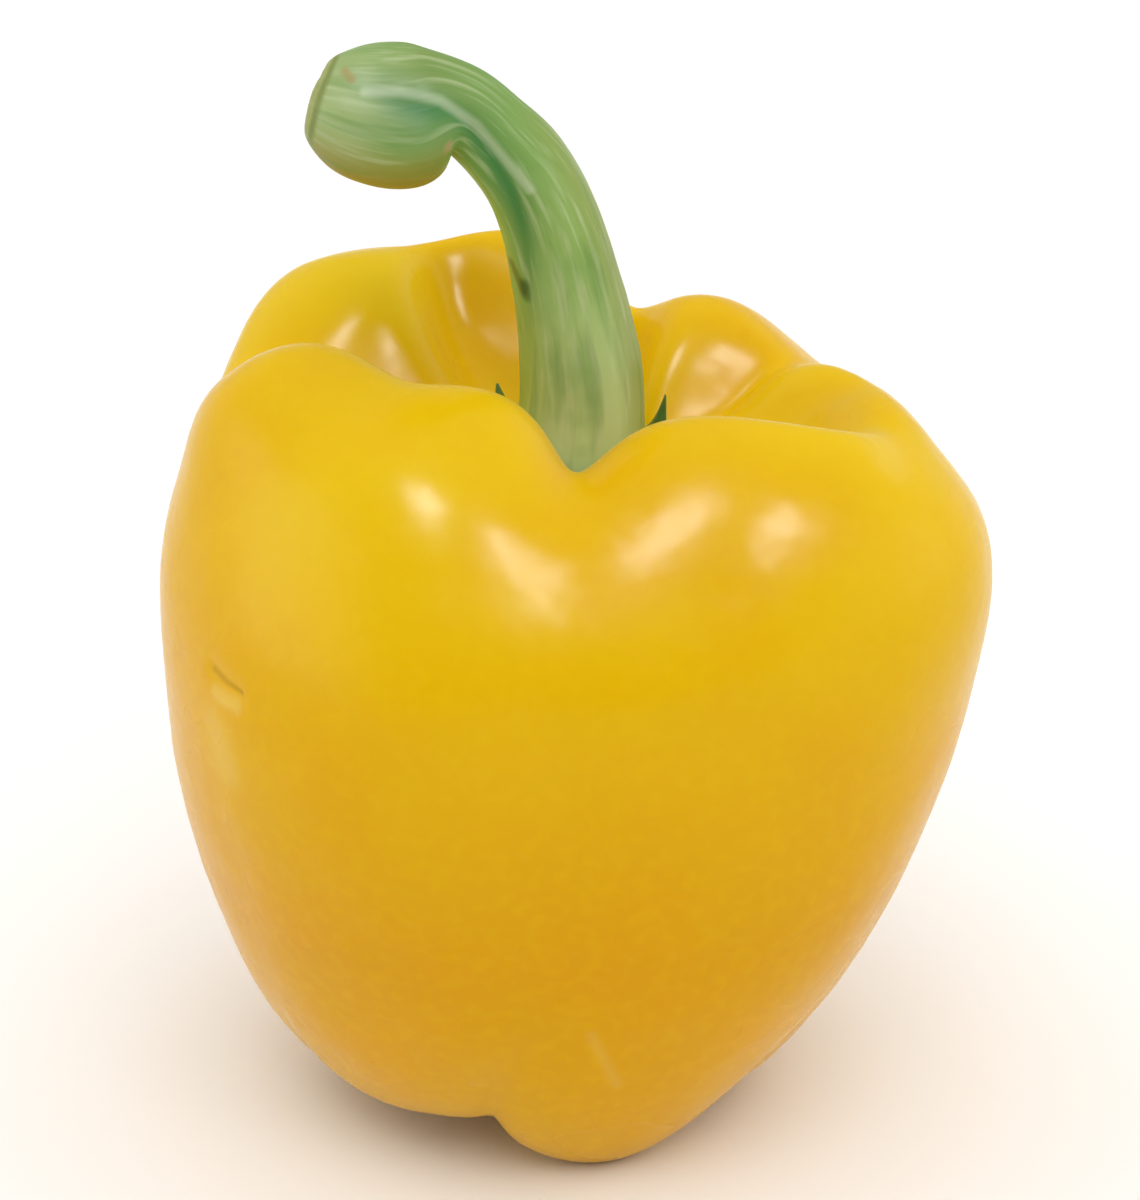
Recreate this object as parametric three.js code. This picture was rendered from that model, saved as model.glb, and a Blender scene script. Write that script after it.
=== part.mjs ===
import * as THREE from "three";

// A yellow bell pepper as picked, standing on the low lobes of its blossom end.
// Millimetres and degrees. +Z is up, the front faces -Y, and azimuths run from +X towards +Y.
//
// Both pieces are closed skins over rows of points, from a pole at the top to a pole underneath.
// The fruit's rows come from one meridian for each azimuth, which its lobes and grooves shape.
// The stem's rows are sections along its bent path, then its calyx, which lies on the fruit.

// Lobes of the fruit: azimuth and height of the crest, radius of the mouth there, how far the
// shoulder stands out from it, radii of belly, hip and toe, and height of the toe's lowest row.
const LOBES = {
  frontRight: { at: 297, crest: 87.5, mouth: 22.3, shoulder: 10.3,
    belly: 41.1, hip: 36.4, toe: 20, foot: -2.8 },
  rightFront: { at: 342, crest: 85.2, mouth: 35.3, shoulder: 5.1,
    belly: 45.7, hip: 37.2, toe: 21, foot: 1 },
  rightRear: { at: 19, crest: 82.4, mouth: 28.4, shoulder: 5.7,
    belly: 44.7, hip: 36.4, toe: 20, foot: -4.4 },
  rearRight: { at: 55, crest: 86.8, mouth: 23.4, shoulder: 10.8,
    belly: 44.1, hip: 36, toe: 21, foot: 1 },
  rear: { at: 101, crest: 90.8, mouth: 28.7, shoulder: 5.2,
    belly: 43, hip: 36, toe: 21, foot: 1 },
  rearLeft: { at: 145, crest: 92.1, mouth: 26.1, shoulder: 14.8,
    belly: 44.8, hip: 37, toe: 22, foot: -3.6 },
  left: { at: 192, crest: 93.4, mouth: 31, shoulder: 10.5,
    belly: 44.9, hip: 38, toe: 24, foot: 0.5 },
  frontLeft: { at: 230, crest: 91.4, mouth: 21.6, shoulder: 13.9,
    belly: 46.1, hip: 37, toe: 23.5, foot: 2.5 },
};

// Grooves between the lobes: how far the crest drops, the mouth widens, and the shoulder and
// belly draw in, how far the toe lifts, the half width in degrees, the roundness of its bed, the
// half width of the valley that it ends in on the shoulder, and the share of its depth there.
const GROOVES = {
  front: { at: 268, crest: 9.1, mouth: 0.8, shoulder: 6.7, belly: 1, toe: 7,
    width: 18, round: 0.3, spread: 43, fade: 0.57 },
  frontLeft: { at: 217, crest: 3.2, mouth: 2.5, shoulder: 2.5, belly: 0.5, toe: 2,
    width: 14, round: 0.8, spread: 39, fade: 0.7 },
  left: { at: 173, crest: 12.5, mouth: 1.9, shoulder: 2.4, belly: 1.5, toe: 5,
    width: 12, round: 0.4, spread: 28, fade: 0.7 },
  rearLeft: { at: 124, crest: 3, mouth: 8.6, shoulder: 2.8, belly: 1, toe: 4,
    width: 15, round: 0.7, spread: 23, fade: 0.7 },
  rear: { at: 78, crest: 9.1, mouth: 6.1, shoulder: 3.4, belly: 1, toe: 4,
    width: 12, round: 0.4, spread: 31, fade: 0.7 },
  rearRight: { at: 33, crest: 5.9, mouth: 3.6, shoulder: 2.4, belly: 1, toe: 4,
    width: 10, round: 0.4, spread: 31, fade: 0.7 },
  right: { at: 5, crest: 2, mouth: 2.8, shoulder: 2.9, belly: 0.5, toe: 2,
    width: 12, round: 0.6, spread: 31, fade: 0.7 },
  frontRight: { at: 339, crest: 3.8, mouth: 3.3, shoulder: -1.2, belly: 1, toe: 3,
    width: 12, round: 0.5, spread: 33, fade: 0.7 },
};

// How wide and how deep the valleys are on the shoulder and lower on the flank, as shares.
const SHOULDER_VALLEY = { width: 1, depth: 1 };
const FLANK_VALLEY = { width: 1.23, depth: 0.5 };

const LOBE_FOCUS = 9; // how tightly each lobe keeps its own values round its azimuth
const SEAT_HEIGHT = 72; // floor of the hollow that the stem grows from
const BELLY_HEIGHT = 62;
const HIP_HEIGHT = 24;
const DIMPLE_HEIGHT = 9; // roof of the dimple between the toes
const BELLY_TURN = -4.5; // turn of the lobes about the axis, from the crest down to the belly
const HIP_TURN = -10;
const TOE_TURN = -14;
const LEAN = -4; // shift of the toes along X
const LEAN_TOP = 90; // height above which nothing is shifted

const SEAT_STEP = 0.005; // share of the meridian between two tries when the seat is looked up

const FRUIT_COLUMNS = 72;
const FRUIT_ROWS = 50;

// Path of the stem from its cut end down to the calyx: place and radius.
const STEM_PATH = [
  [-26.0, -8.0, 116.4, 4.6],
  [-24.0, -7.6, 116.0, 6.5],
  [-21.2, -7.2, 115.1, 7.5],
  [-16.9, -6.5, 114.3, 7.9],
  [-14.4, -5.9, 115.2, 6.5],
  [-12.2, -5.1, 115.2, 4.8],
  [-9.3, -4.2, 112.3, 4.6],
  [-5.8, -2.5, 108.0, 5.2],
  [-3.3, -0.8, 102.2, 5.4],
  [-1.8, 0.3, 96.0, 5.8],
  [-0.7, 0.4, 90.0, 6.2],
  [0.1, 0.2, 85.0, 6.7],
  [0.3, 0.1, 80.5, 6.9],
];
const CUT_DIP = 0.3; // how far the middle of the cut end is sunk
const CUT_EDGE = 0.85; // radius of the flat cut, as a share of the end section

// Furrows between the stem's ribs: azimuth at the calyx, turn up to the cut end, share of radius.
const FURROWS = [
  { at: 205, turn: 130, depth: 0.13 },
  { at: 262, turn: 125, depth: 0.04 },
  { at: 318, turn: 120, depth: 0.05 },
  { at: 12, turn: 120, depth: 0.06 },
  { at: 75, turn: 120, depth: 0.07 },
  { at: 140, turn: 125, depth: 0.07 },
];
const FURROW_WIDTH = 15;
const FURROW_ROUND = 0.5;

// Corners of the calyx: azimuth, reach past its round edge, and lift of the tip off the fruit.
const CORNERS = [
  { at: 270, reach: 0.6, lift: 0.7 },
  { at: 328, reach: 2.2, lift: 0.4 },
  { at: 25, reach: 2.0, lift: 3.6 },
  { at: 84, reach: 2.6, lift: 1.2 },
  { at: 143, reach: 2.4, lift: 3.0 },
  { at: 206, reach: 2.4, lift: 0.6 },
];
const CALYX_RADIUS = 9.3;
const CALYX_THICKNESS = 1.4;
const CORNER_WIDTH = 24; // half width in degrees
const CORNER_SHARPNESS = 1.5;
const CALYX_GAP = 0.6; // clearance between the calyx and the fruit

const STEM_COLUMNS = 48;
const STEM_ROWS = 34;

function radians(degrees) {
  return (degrees * Math.PI) / 180;
}

// Distance in degrees from one azimuth to another, the short way round.
function apart(azimuth, other) {
  const turned = (((azimuth - other + 180) % 360) + 360) % 360;
  return turned - 180;
}

// Height of a groove's cross section: 1 in its bed, falling to 0 on both sides.
function notch(distance, width, round) {
  const across = distance / width;
  return Math.exp(round - Math.sqrt(across * across + round * round));
}

// Height of a valley's cross section: 1 in the middle, and level again at its half width.
function valley(distance, width) {
  const across = Math.min(1, Math.abs(distance) / width);
  return Math.cos((across * Math.PI) / 2) ** 2;
}

// A lobe value at an azimuth, blended from all the lobes once they are turned by an angle.
function lobeValue(key, azimuth, turn) {
  let sum = 0;
  let total = 0;
  for (const lobe of Object.values(LOBES)) {
    const away = radians(azimuth - lobe.at - turn);
    const weight = Math.exp(LOBE_FOCUS * (Math.cos(away) - 1));
    sum += weight * lobe[key];
    total += weight;
  }
  return sum / total;
}

// The summed depth of the grooves at an azimuth, once they are turned, widened and softened.
function grooveValue(key, azimuth, turn, widen, soften) {
  let sum = 0;
  for (const groove of Object.values(GROOVES)) {
    const away = apart(azimuth, groove.at + turn);
    sum += groove[key] * notch(away, groove.width * widen, groove.round * soften);
  }
  return sum;
}

// The summed depth at an azimuth of the valleys that the grooves end in.
function valleyValue(key, azimuth, form) {
  let sum = 0;
  for (const groove of Object.values(GROOVES)) {
    sum += groove[key] * groove.fade * valley(apart(azimuth, groove.at), form.width * groove.spread);
  }
  return form.depth * sum;
}

// Radius and height of each control row of the fruit at one azimuth, from the floor of the
// stem's hollow over the crest and down the belly to the dimple between the toes.
function meridian(azimuth) {
  const crest = lobeValue("crest", azimuth, 0) - grooveValue("crest", azimuth, 0, 1, 1);
  const outer = lobeValue("crest", azimuth, 0) - valleyValue("crest", azimuth, SHOULDER_VALLEY);
  const flank = lobeValue("crest", azimuth, 0) - valleyValue("crest", azimuth, FLANK_VALLEY);
  const mouth = lobeValue("mouth", azimuth, 0);
  const recess = grooveValue("mouth", azimuth, 0, 1, 1);
  const shoulder = mouth + lobeValue("shoulder", azimuth, 0);
  const drawIn = valleyValue("shoulder", azimuth, SHOULDER_VALLEY);
  const belly = lobeValue("belly", azimuth, BELLY_TURN);
  const bellyIn = grooveValue("belly", azimuth, BELLY_TURN, 1.25, 1.8);
  const hip = lobeValue("hip", azimuth, HIP_TURN);
  const hipIn = grooveValue("belly", azimuth, HIP_TURN, 1.3, 1.8);
  const toe = lobeValue("toe", azimuth, TOE_TURN);
  const foot = lobeValue("foot", azimuth, TOE_TURN);
  const toeUp = grooveValue("toe", azimuth, TOE_TURN, 1.3, 1);
  const rise = crest - SEAT_HEIGHT;
  return [
    [0, SEAT_HEIGHT],
    [5, SEAT_HEIGHT],
    [10, SEAT_HEIGHT + 0.3],
    [mouth - 13 + recess, SEAT_HEIGHT + 0.45 * rise],
    [mouth - 9 + recess, SEAT_HEIGHT + 0.92 * rise],
    [mouth - 1 + 0.3 * recess, crest + 3],
    [shoulder - drawIn, outer - 4],
    [0.25 * mouth + 0.75 * belly + 1 - drawIn, 0.44 * BELLY_HEIGHT + 0.56 * (flank - 2)],
    [belly + 0.8 - 0.5 * drawIn - 0.5 * bellyIn, BELLY_HEIGHT + 3],
    [belly - 0.8 - bellyIn, BELLY_HEIGHT - 13],
    [0.5 * (belly + hip) + 1.5 - bellyIn, 0.5 * (BELLY_HEIGHT + HIP_HEIGHT) - 4],
    [hip + 1 - hipIn, HIP_HEIGHT],
    [0.35 * hip + 0.65 * toe + 3 - 0.5 * hipIn, 0.32 * HIP_HEIGHT + foot + 0.5 * toeUp],
    [toe, foot - 3.2 + toeUp],
    [0.55 * toe, 0.6 * foot + 1.5 + 0.8 * toeUp],
    [5, DIMPLE_HEIGHT],
    [0, DIMPLE_HEIGHT + 1],
  ];
}

// A smooth curve through the neighbourhood of its control points (a uniform cubic B-spline),
// at a share from 0 to 1 of its length. The points may have any number of coordinates.
function smooth(points, share) {
  const spans = points.length - 3;
  const along = share * spans;
  const first = Math.min(Math.floor(along), spans - 1);
  const t = along - first;
  const weights = [
    (1 - t) ** 3 / 6,
    (3 * t ** 3 - 6 * t ** 2 + 4) / 6,
    (-3 * t ** 3 + 3 * t ** 2 + 3 * t + 1) / 6,
    t ** 3 / 6,
  ];
  return points[0].map((_, axis) => {
    let value = 0;
    weights.forEach((weight, index) => {
      value += weight * points[first + index][axis];
    });
    return value;
  });
}

// Adds the reflection of the second point through the first at each end, so that the smooth
// curve starts and ends on its end points.
function held(points) {
  const last = points.length - 1;
  const before = points[0].map((value, axis) => 2 * value - points[1][axis]);
  const after = points[last].map((value, axis) => 2 * value - points[last - 1][axis]);
  return [before, ...points, after];
}

// Adds the mirrored second row at each pole, so that a meridian crosses its pole level.
function overPoles(rows) {
  const last = rows.length - 1;
  const before = [-rows[1][0], rows[1][1]];
  const after = [-rows[last - 1][0], rows[last - 1][1]];
  return [before, ...rows, after];
}

function place(azimuth, radius, height) {
  const low = Math.max(0, 1 - height / LEAN_TOP);
  const x = radius * Math.cos(radians(azimuth)) + LEAN * low ** 1.5;
  const y = radius * Math.sin(radians(azimuth));
  return new THREE.Vector3(x, y, Math.max(0, height));
}

// A closed skin over rows of points that run round in the same order. The first and last rows
// are poles, of which only one point counts.
function skin(rows) {
  const columns = rows[1].length;
  const rings = rows.slice(1, -1);
  const points = [rows[0][0], ...rings.flat(), rows[rows.length - 1][0]];
  const bottom = points.length - 1;
  const faces = [];
  for (let column = 0; column < columns; column += 1) {
    const next = (column + 1) % columns;
    faces.push(0, 1 + column, 1 + next);
    for (let ring = 0; ring < rings.length - 1; ring += 1) {
      const here = 1 + ring * columns;
      const below = here + columns;
      faces.push(here + column, below + column, below + next);
      faces.push(here + column, below + next, here + next);
    }
    const lowest = 1 + (rings.length - 1) * columns;
    faces.push(bottom, lowest + next, lowest + column);
  }
  const geometry = new THREE.BufferGeometry().setFromPoints(points);
  geometry.setIndex(faces);
  geometry.computeVertexNormals();
  return geometry;
}

function azimuths(columns) {
  return Array.from({ length: columns }, (_, column) => (360 * column) / columns);
}

function fruitGeometry() {
  const curves = azimuths(FRUIT_COLUMNS).map((azimuth) => overPoles(meridian(azimuth)));
  const rows = [];
  for (let row = 0; row < FRUIT_ROWS; row += 1) {
    rows.push(
      azimuths(FRUIT_COLUMNS).map((azimuth, column) => {
        const [radius, height] = smooth(curves[column], row / (FRUIT_ROWS - 1));
        return place(azimuth, radius, height);
      }),
    );
  }
  return skin(rows);
}

// Height of the floor of the stem's hollow at an azimuth and radius.
function seatHeight(azimuth, radius) {
  const curve = overPoles(meridian(azimuth));
  let inner = smooth(curve, 0);
  for (let share = SEAT_STEP; share < 0.5; share += SEAT_STEP) {
    const outer = smooth(curve, share);
    if (outer[0] >= radius) {
      const part = (radius - inner[0]) / (outer[0] - inner[0]);
      return inner[1] + part * (outer[1] - inner[1]);
    }
    inner = outer;
  }
  return inner[1];
}

// How far a corner of the calyx is in play at an azimuth: 1 at its tip, 0 away from it.
function cornerShare(azimuth, corner) {
  const away = Math.abs(apart(azimuth, corner.at));
  return Math.max(0, 1 - away / CORNER_WIDTH) ** CORNER_SHARPNESS;
}

function calyxEdge(azimuth) {
  let radius = CALYX_RADIUS;
  let lift = 0;
  for (const corner of CORNERS) {
    radius += corner.reach * cornerShare(azimuth, corner);
    lift += corner.lift * cornerShare(azimuth, corner) ** 2;
  }
  return { radius, lift };
}

// Share of the stem's radius that is left at an azimuth, at a share of the way from its cut
// end down to the calyx.
function ribShare(azimuth, down) {
  let share = 1;
  for (const furrow of FURROWS) {
    const bed = furrow.at + furrow.turn * (1 - down);
    share -= furrow.depth * notch(apart(azimuth, bed), FURROW_WIDTH, FURROW_ROUND);
  }
  return share;
}

// One section of the stem, square to its path, as a function of the azimuth. Azimuths on it
// agree with the fruit's where the path is upright.
function stemSection(middle, along, radius, down) {
  const rear = new THREE.Vector3(0, 1, 0);
  rear.addScaledVector(along, -rear.dot(along)).normalize();
  const right = new THREE.Vector3().crossVectors(rear, along);
  return (azimuth) => {
    const reach = radius * ribShare(azimuth, down);
    const point = middle.clone();
    point.addScaledVector(right, reach * Math.cos(radians(azimuth)));
    point.addScaledVector(rear, reach * Math.sin(radians(azimuth)));
    return point;
  };
}

// Control rows of the stem from the middle of the cut end down to where the calyx starts.
function stemSections() {
  const last = STEM_PATH.length - 1;
  const middles = STEM_PATH.map(([x, y, z]) => new THREE.Vector3(x, y, z));
  const sections = STEM_PATH.map((stop, index) => {
    const before = middles[Math.max(0, index - 1)];
    const after = middles[Math.min(last, index + 1)];
    const along = before.clone().sub(after).normalize();
    return stemSection(middles[index], along, stop[3], index / last);
  });
  const tip = middles[0].clone().sub(middles[1]).normalize();
  const sunk = middles[0].clone().addScaledVector(tip, -CUT_DIP);
  const cut = stemSection(middles[0], tip, CUT_EDGE * STEM_PATH[0][3], 0);
  const inner = stemSection(sunk, tip, 0.5 * STEM_PATH[0][3], 0);
  return [() => sunk, inner, cut, ...sections];
}

// Control rows of the calyx's upper face, flaring from the stem to the edge.
function calyxFlare() {
  const foot = STEM_PATH[STEM_PATH.length - 1][3];
  const rows = [
    { reach: 0.1, height: 4.2 },
    { reach: 0.3, height: 2.6 },
    { reach: 0.65, height: 1.9 },
    { reach: 1.0, height: CALYX_THICKNESS },
  ];
  return rows.map(({ reach, height }) => (azimuth) => {
    const edge = calyxEdge(azimuth);
    const radius = foot + reach * (edge.radius - foot);
    const lift = CALYX_GAP + height + edge.lift * reach ** 3;
    return place(azimuth, radius, seatHeight(azimuth, radius) + lift);
  });
}

// Rows of the calyx's underside, which follows the fruit below it.
function calyxUnderside(azimuth) {
  const edge = calyxEdge(azimuth);
  return [0.98, 0.7, 0.4, 0].map((reach) => {
    const radius = reach * edge.radius;
    const lift = CALYX_GAP + edge.lift * reach ** 6;
    return place(azimuth, radius, seatHeight(azimuth, radius) + lift);
  });
}

function stemGeometry() {
  const controls = [...stemSections(), ...calyxFlare()];
  const columns = azimuths(STEM_COLUMNS).map((azimuth) => {
    const curve = held(controls.map((control) => control(azimuth).toArray()));
    const column = [];
    for (let row = 0; row < STEM_ROWS; row += 1) {
      column.push(new THREE.Vector3(...smooth(curve, row / (STEM_ROWS - 1))));
    }
    return [...column, ...calyxUnderside(azimuth)];
  });
  const rows = columns[0].map((_, row) => columns.map((column) => column[row]));
  return skin(rows);
}

const fruitSkin = new THREE.MeshStandardMaterial({
  name: "glossy_yellow_skin",
  color: 0xe6bd00,
  roughness: 0.3,
  metalness: 0,
});
const greenStem = new THREE.MeshStandardMaterial({
  name: "fresh_green_stem",
  color: 0x7fa24f,
  roughness: 0.45,
  metalness: 0,
});

function piece(name, geometry, material) {
  const mesh = new THREE.Mesh(geometry, material);
  mesh.name = name;
  return mesh;
}

const group = new THREE.Group();
group.name = "bell_pepper";
group.add(piece("fruit", fruitGeometry(), fruitSkin));
group.add(piece("stem", stemGeometry(), greenStem));

// The origin is under the middle of the pepper, on the surface that it stands on.
const middle = new THREE.Box3().setFromObject(group).getCenter(new THREE.Vector3());
group.position.set(-middle.x, -middle.y, 0);
group.updateMatrixWorld(true);

export default group;
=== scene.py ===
# A whole yellow bell pepper, standing on its blossom end: its glossy skin, and its bent green stem
# with the calyx.
import math

import bpy
import numpy as np
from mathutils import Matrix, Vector


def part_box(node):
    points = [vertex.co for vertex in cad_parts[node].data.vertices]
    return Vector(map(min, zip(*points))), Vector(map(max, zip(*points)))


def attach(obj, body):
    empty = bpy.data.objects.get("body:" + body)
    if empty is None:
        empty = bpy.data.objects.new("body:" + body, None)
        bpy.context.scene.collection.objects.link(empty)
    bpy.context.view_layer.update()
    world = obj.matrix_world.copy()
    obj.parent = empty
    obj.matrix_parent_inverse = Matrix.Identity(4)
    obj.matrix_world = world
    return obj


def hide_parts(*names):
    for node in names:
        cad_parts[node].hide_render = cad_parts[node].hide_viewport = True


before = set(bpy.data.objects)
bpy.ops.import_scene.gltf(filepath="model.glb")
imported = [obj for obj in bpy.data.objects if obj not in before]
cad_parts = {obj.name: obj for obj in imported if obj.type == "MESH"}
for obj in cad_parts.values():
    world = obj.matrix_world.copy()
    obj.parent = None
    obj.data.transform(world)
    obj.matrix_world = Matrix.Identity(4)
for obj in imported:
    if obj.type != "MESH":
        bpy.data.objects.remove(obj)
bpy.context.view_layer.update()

MM = 0.001  # lengths below are in millimetres, and meshes are made in metres


# The fruit's shape

# Lobes: azimuth and height of the crest, radius of the mouth there, how far the shoulder stands
# out from it, radii of belly, hip and toe, and height of the toe's lowest row.
LOBES = {
    "front_right": dict(
        at=297, crest=87.5, mouth=22.3, shoulder=10.3, belly=41.1, hip=36.4, toe=20, foot=-2.8,
    ),
    "right_front": dict(
        at=342, crest=85.2, mouth=35.3, shoulder=5.1, belly=45.7, hip=37.2, toe=21, foot=1,
    ),
    "right_rear": dict(
        at=19, crest=82.4, mouth=28.4, shoulder=5.7, belly=44.7, hip=36.4, toe=20, foot=-4.4,
    ),
    "rear_right": dict(
        at=55, crest=86.8, mouth=23.4, shoulder=10.8, belly=44.1, hip=36, toe=21, foot=1,
    ),
    "rear": dict(
        at=101, crest=90.8, mouth=28.7, shoulder=5.2, belly=43, hip=36, toe=21, foot=1,
    ),
    "rear_left": dict(
        at=145, crest=92.1, mouth=26.1, shoulder=14.8, belly=44.8, hip=37, toe=22, foot=-3.6,
    ),
    "left": dict(
        at=192, crest=93.4, mouth=31, shoulder=10.5, belly=44.9, hip=38, toe=24, foot=0.5,
    ),
    "front_left": dict(
        at=230, crest=91.4, mouth=21.6, shoulder=13.9, belly=46.1, hip=37, toe=23.5, foot=2.5,
    ),
}
# Grooves: how far the crest drops, the mouth widens, and the shoulder and belly draw in, how far
# the toe lifts, the half width in degrees, the roundness of the bed, the half width of the valley
# that the groove ends in on the shoulder, and the share of its depth there.
GROOVES = {
    "front": dict(
        at=268, crest=9.1, mouth=0.8, shoulder=6.7, belly=1, toe=7,
        width=18, round=0.3, spread=43, fade=0.57,
    ),
    "front_left": dict(
        at=217, crest=3.2, mouth=2.5, shoulder=2.5, belly=0.5, toe=2,
        width=14, round=0.8, spread=39, fade=0.7,
    ),
    "left": dict(
        at=173, crest=12.5, mouth=1.9, shoulder=2.4, belly=1.5, toe=5,
        width=12, round=0.4, spread=28, fade=0.7,
    ),
    "rear_left": dict(
        at=124, crest=3, mouth=8.6, shoulder=2.8, belly=1, toe=4,
        width=15, round=0.7, spread=23, fade=0.7,
    ),
    "rear": dict(
        at=78, crest=9.1, mouth=6.1, shoulder=3.4, belly=1, toe=4,
        width=12, round=0.4, spread=31, fade=0.7,
    ),
    "rear_right": dict(
        at=33, crest=5.9, mouth=3.6, shoulder=2.4, belly=1, toe=4,
        width=10, round=0.4, spread=31, fade=0.7,
    ),
    "right": dict(
        at=5, crest=2, mouth=2.8, shoulder=2.9, belly=0.5, toe=2,
        width=12, round=0.6, spread=31, fade=0.7,
    ),
    "front_right": dict(
        at=339, crest=3.8, mouth=3.3, shoulder=-1.2, belly=1, toe=3,
        width=12, round=0.5, spread=33, fade=0.7,
    ),
}
SHOULDER_VALLEY = dict(width=1, depth=1)  # how wide and how deep the valleys are on the shoulder
FLANK_VALLEY = dict(width=1.23, depth=0.5)  # and lower on the flank, as shares
LOBE_FOCUS = 9  # how tightly each lobe keeps its own values round its azimuth
SEAT_HEIGHT = 72  # floor of the hollow that the stem grows from
BELLY_HEIGHT = 62
HIP_HEIGHT = 24
DIMPLE_HEIGHT = 9  # roof of the dimple between the toes
BELLY_TURN = -4.5  # turn of the lobes about the axis in degrees, from the crest down to the belly
HIP_TURN = -10
TOE_TURN = -14
LEAN = -4  # shift of the toes along X
LEAN_TOP = 90  # height above which nothing is shifted
LEAN_CURVE = 1.5  # how the shift grows from there down, as a power
BELLY_WIDEN = 1.25  # how much wider the grooves are at the belly than at the crest
HIP_WIDEN = 1.3
TOE_WIDEN = 1.3
FLANK_SOFTEN = 1.8  # how much rounder their beds are on the flank

FRUIT_COLUMNS = 360
FRUIT_ROWS = 240


def apart(azimuth, other):
    """Distance in degrees from one azimuth to another, the short way round."""
    return (azimuth - other + 180) % 360 - 180


def notch(distance, width, roundness):
    """Height of a groove's cross section: 1 in its bed, falling to 0 on both sides."""
    return np.exp(roundness - np.hypot(distance / width, roundness))


def valley(distance, width):
    """Height of a valley's cross section: 1 in the middle, and level again at its half width."""
    return np.cos(np.clip(distance / width, -1, 1) * np.pi / 2) ** 2


def lobe_value(key, azimuth, turn):
    """A lobe value at each azimuth, blended from all the lobes once they are turned."""
    ways = [np.radians(azimuth - lobe["at"] - turn) for lobe in LOBES.values()]
    weights = [np.exp(LOBE_FOCUS * (np.cos(way) - 1)) for way in ways]
    values = [lobe[key] for lobe in LOBES.values()]
    return sum(w * v for w, v in zip(weights, values)) / sum(weights)


def groove_value(key, azimuth, turn=0, widen=1, soften=1):
    """The summed depth of the grooves at each azimuth, once they are turned and widened."""
    return sum(
        g[key] * notch(apart(azimuth, g["at"] + turn), g["width"] * widen, g["round"] * soften)
        for g in GROOVES.values()
    )


def valley_value(key, azimuth, form):
    """The summed depth at each azimuth of the broad valleys that the grooves end in."""
    return form["depth"] * sum(
        g[key] * g["fade"] * valley(apart(azimuth, g["at"]), form["width"] * g["spread"])
        for g in GROOVES.values()
    )


def meridian(azimuth):
    """Radius and height of the fruit's control rows at each azimuth, from the floor of the
    stem's hollow over the crest and down the belly to the dimple between the toes."""
    crest = lobe_value("crest", azimuth, 0) - groove_value("crest", azimuth)
    mouth = lobe_value("mouth", azimuth, 0)
    recess = groove_value("mouth", azimuth)
    shoulder = mouth + lobe_value("shoulder", azimuth, 0)
    outer = lobe_value("crest", azimuth, 0) - valley_value("crest", azimuth, SHOULDER_VALLEY)
    flank = lobe_value("crest", azimuth, 0) - valley_value("crest", azimuth, FLANK_VALLEY)
    draw_in = valley_value("shoulder", azimuth, SHOULDER_VALLEY)
    belly = lobe_value("belly", azimuth, BELLY_TURN)
    belly_in = groove_value("belly", azimuth, BELLY_TURN, BELLY_WIDEN, FLANK_SOFTEN)
    hip = lobe_value("hip", azimuth, HIP_TURN)
    hip_in = groove_value("belly", azimuth, HIP_TURN, HIP_WIDEN, FLANK_SOFTEN)
    toe = lobe_value("toe", azimuth, TOE_TURN)
    foot = lobe_value("foot", azimuth, TOE_TURN)
    toe_up = groove_value("toe", azimuth, TOE_TURN, TOE_WIDEN)
    rise = crest - SEAT_HEIGHT
    rows = [
        # floor and wall of the stem's hollow
        (0, SEAT_HEIGHT),
        (5, SEAT_HEIGHT),
        (10, SEAT_HEIGHT + 0.3),
        (mouth - 13 + recess, SEAT_HEIGHT + 0.45 * rise),
        (mouth - 9 + recess, SEAT_HEIGHT + 0.92 * rise),
        # crest, shoulder and belly
        (mouth - 1 + 0.3 * recess, crest + 3),
        (shoulder - draw_in, outer - 4),
        (0.25 * mouth + 0.75 * belly + 1 - draw_in, 0.44 * BELLY_HEIGHT + 0.56 * (flank - 2)),
        (belly + 0.8 - 0.5 * draw_in - 0.5 * belly_in, BELLY_HEIGHT + 3),
        # down the flank to the hip
        (belly - 0.8 - belly_in, BELLY_HEIGHT - 13),
        (0.5 * (belly + hip) + 1.5 - belly_in, 0.5 * (BELLY_HEIGHT + HIP_HEIGHT) - 4),
        (hip + 1 - hip_in, HIP_HEIGHT),
        # round the toe and up into the dimple
        (0.35 * hip + 0.65 * toe + 3 - 0.5 * hip_in, 0.32 * HIP_HEIGHT + foot + 0.5 * toe_up),
        (toe, foot - 3.2 + toe_up),
        (0.55 * toe, 0.6 * foot + 1.5 + 0.8 * toe_up),
        (5, DIMPLE_HEIGHT),
        (0, DIMPLE_HEIGHT + 1),
    ]
    flat = np.zeros_like(azimuth)
    return np.array([(radius + flat, height + flat) for radius, height in rows]).transpose(0, 2, 1)


def smooth(rows, shares):
    """Points of a uniform cubic B-spline over control rows, at shares from 0 to 1 of its length."""
    spans = len(rows) - 3
    along = shares * spans
    first = np.minimum(along.astype(int), spans - 1)
    t = (along - first).reshape((-1,) + (1,) * (rows.ndim - 1))
    weights = [(1 - t) ** 3, 3 * t**3 - 6 * t**2 + 4, -3 * t**3 + 3 * t**2 + 3 * t + 1, t**3]
    return sum(weight / 6 * rows[first + step] for step, weight in enumerate(weights))


def over_poles(rows):
    """Adds the mirrored second row at each pole, so that a meridian crosses its pole level."""
    mirror = np.array([-1, 1])
    return np.concatenate([rows[1:2] * mirror, rows, rows[-2:-1] * mirror])


def held(rows):
    """Adds reflected rows, so that the smooth curve starts and ends on its end points."""
    return np.concatenate([2 * rows[:1] - rows[1:2], rows, 2 * rows[-1:] - rows[-2:-1]])


def leaning(height):
    """How far along X the fruit leans at a height."""
    return LEAN * np.maximum(0, 1 - height / LEAN_TOP) ** LEAN_CURVE


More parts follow.
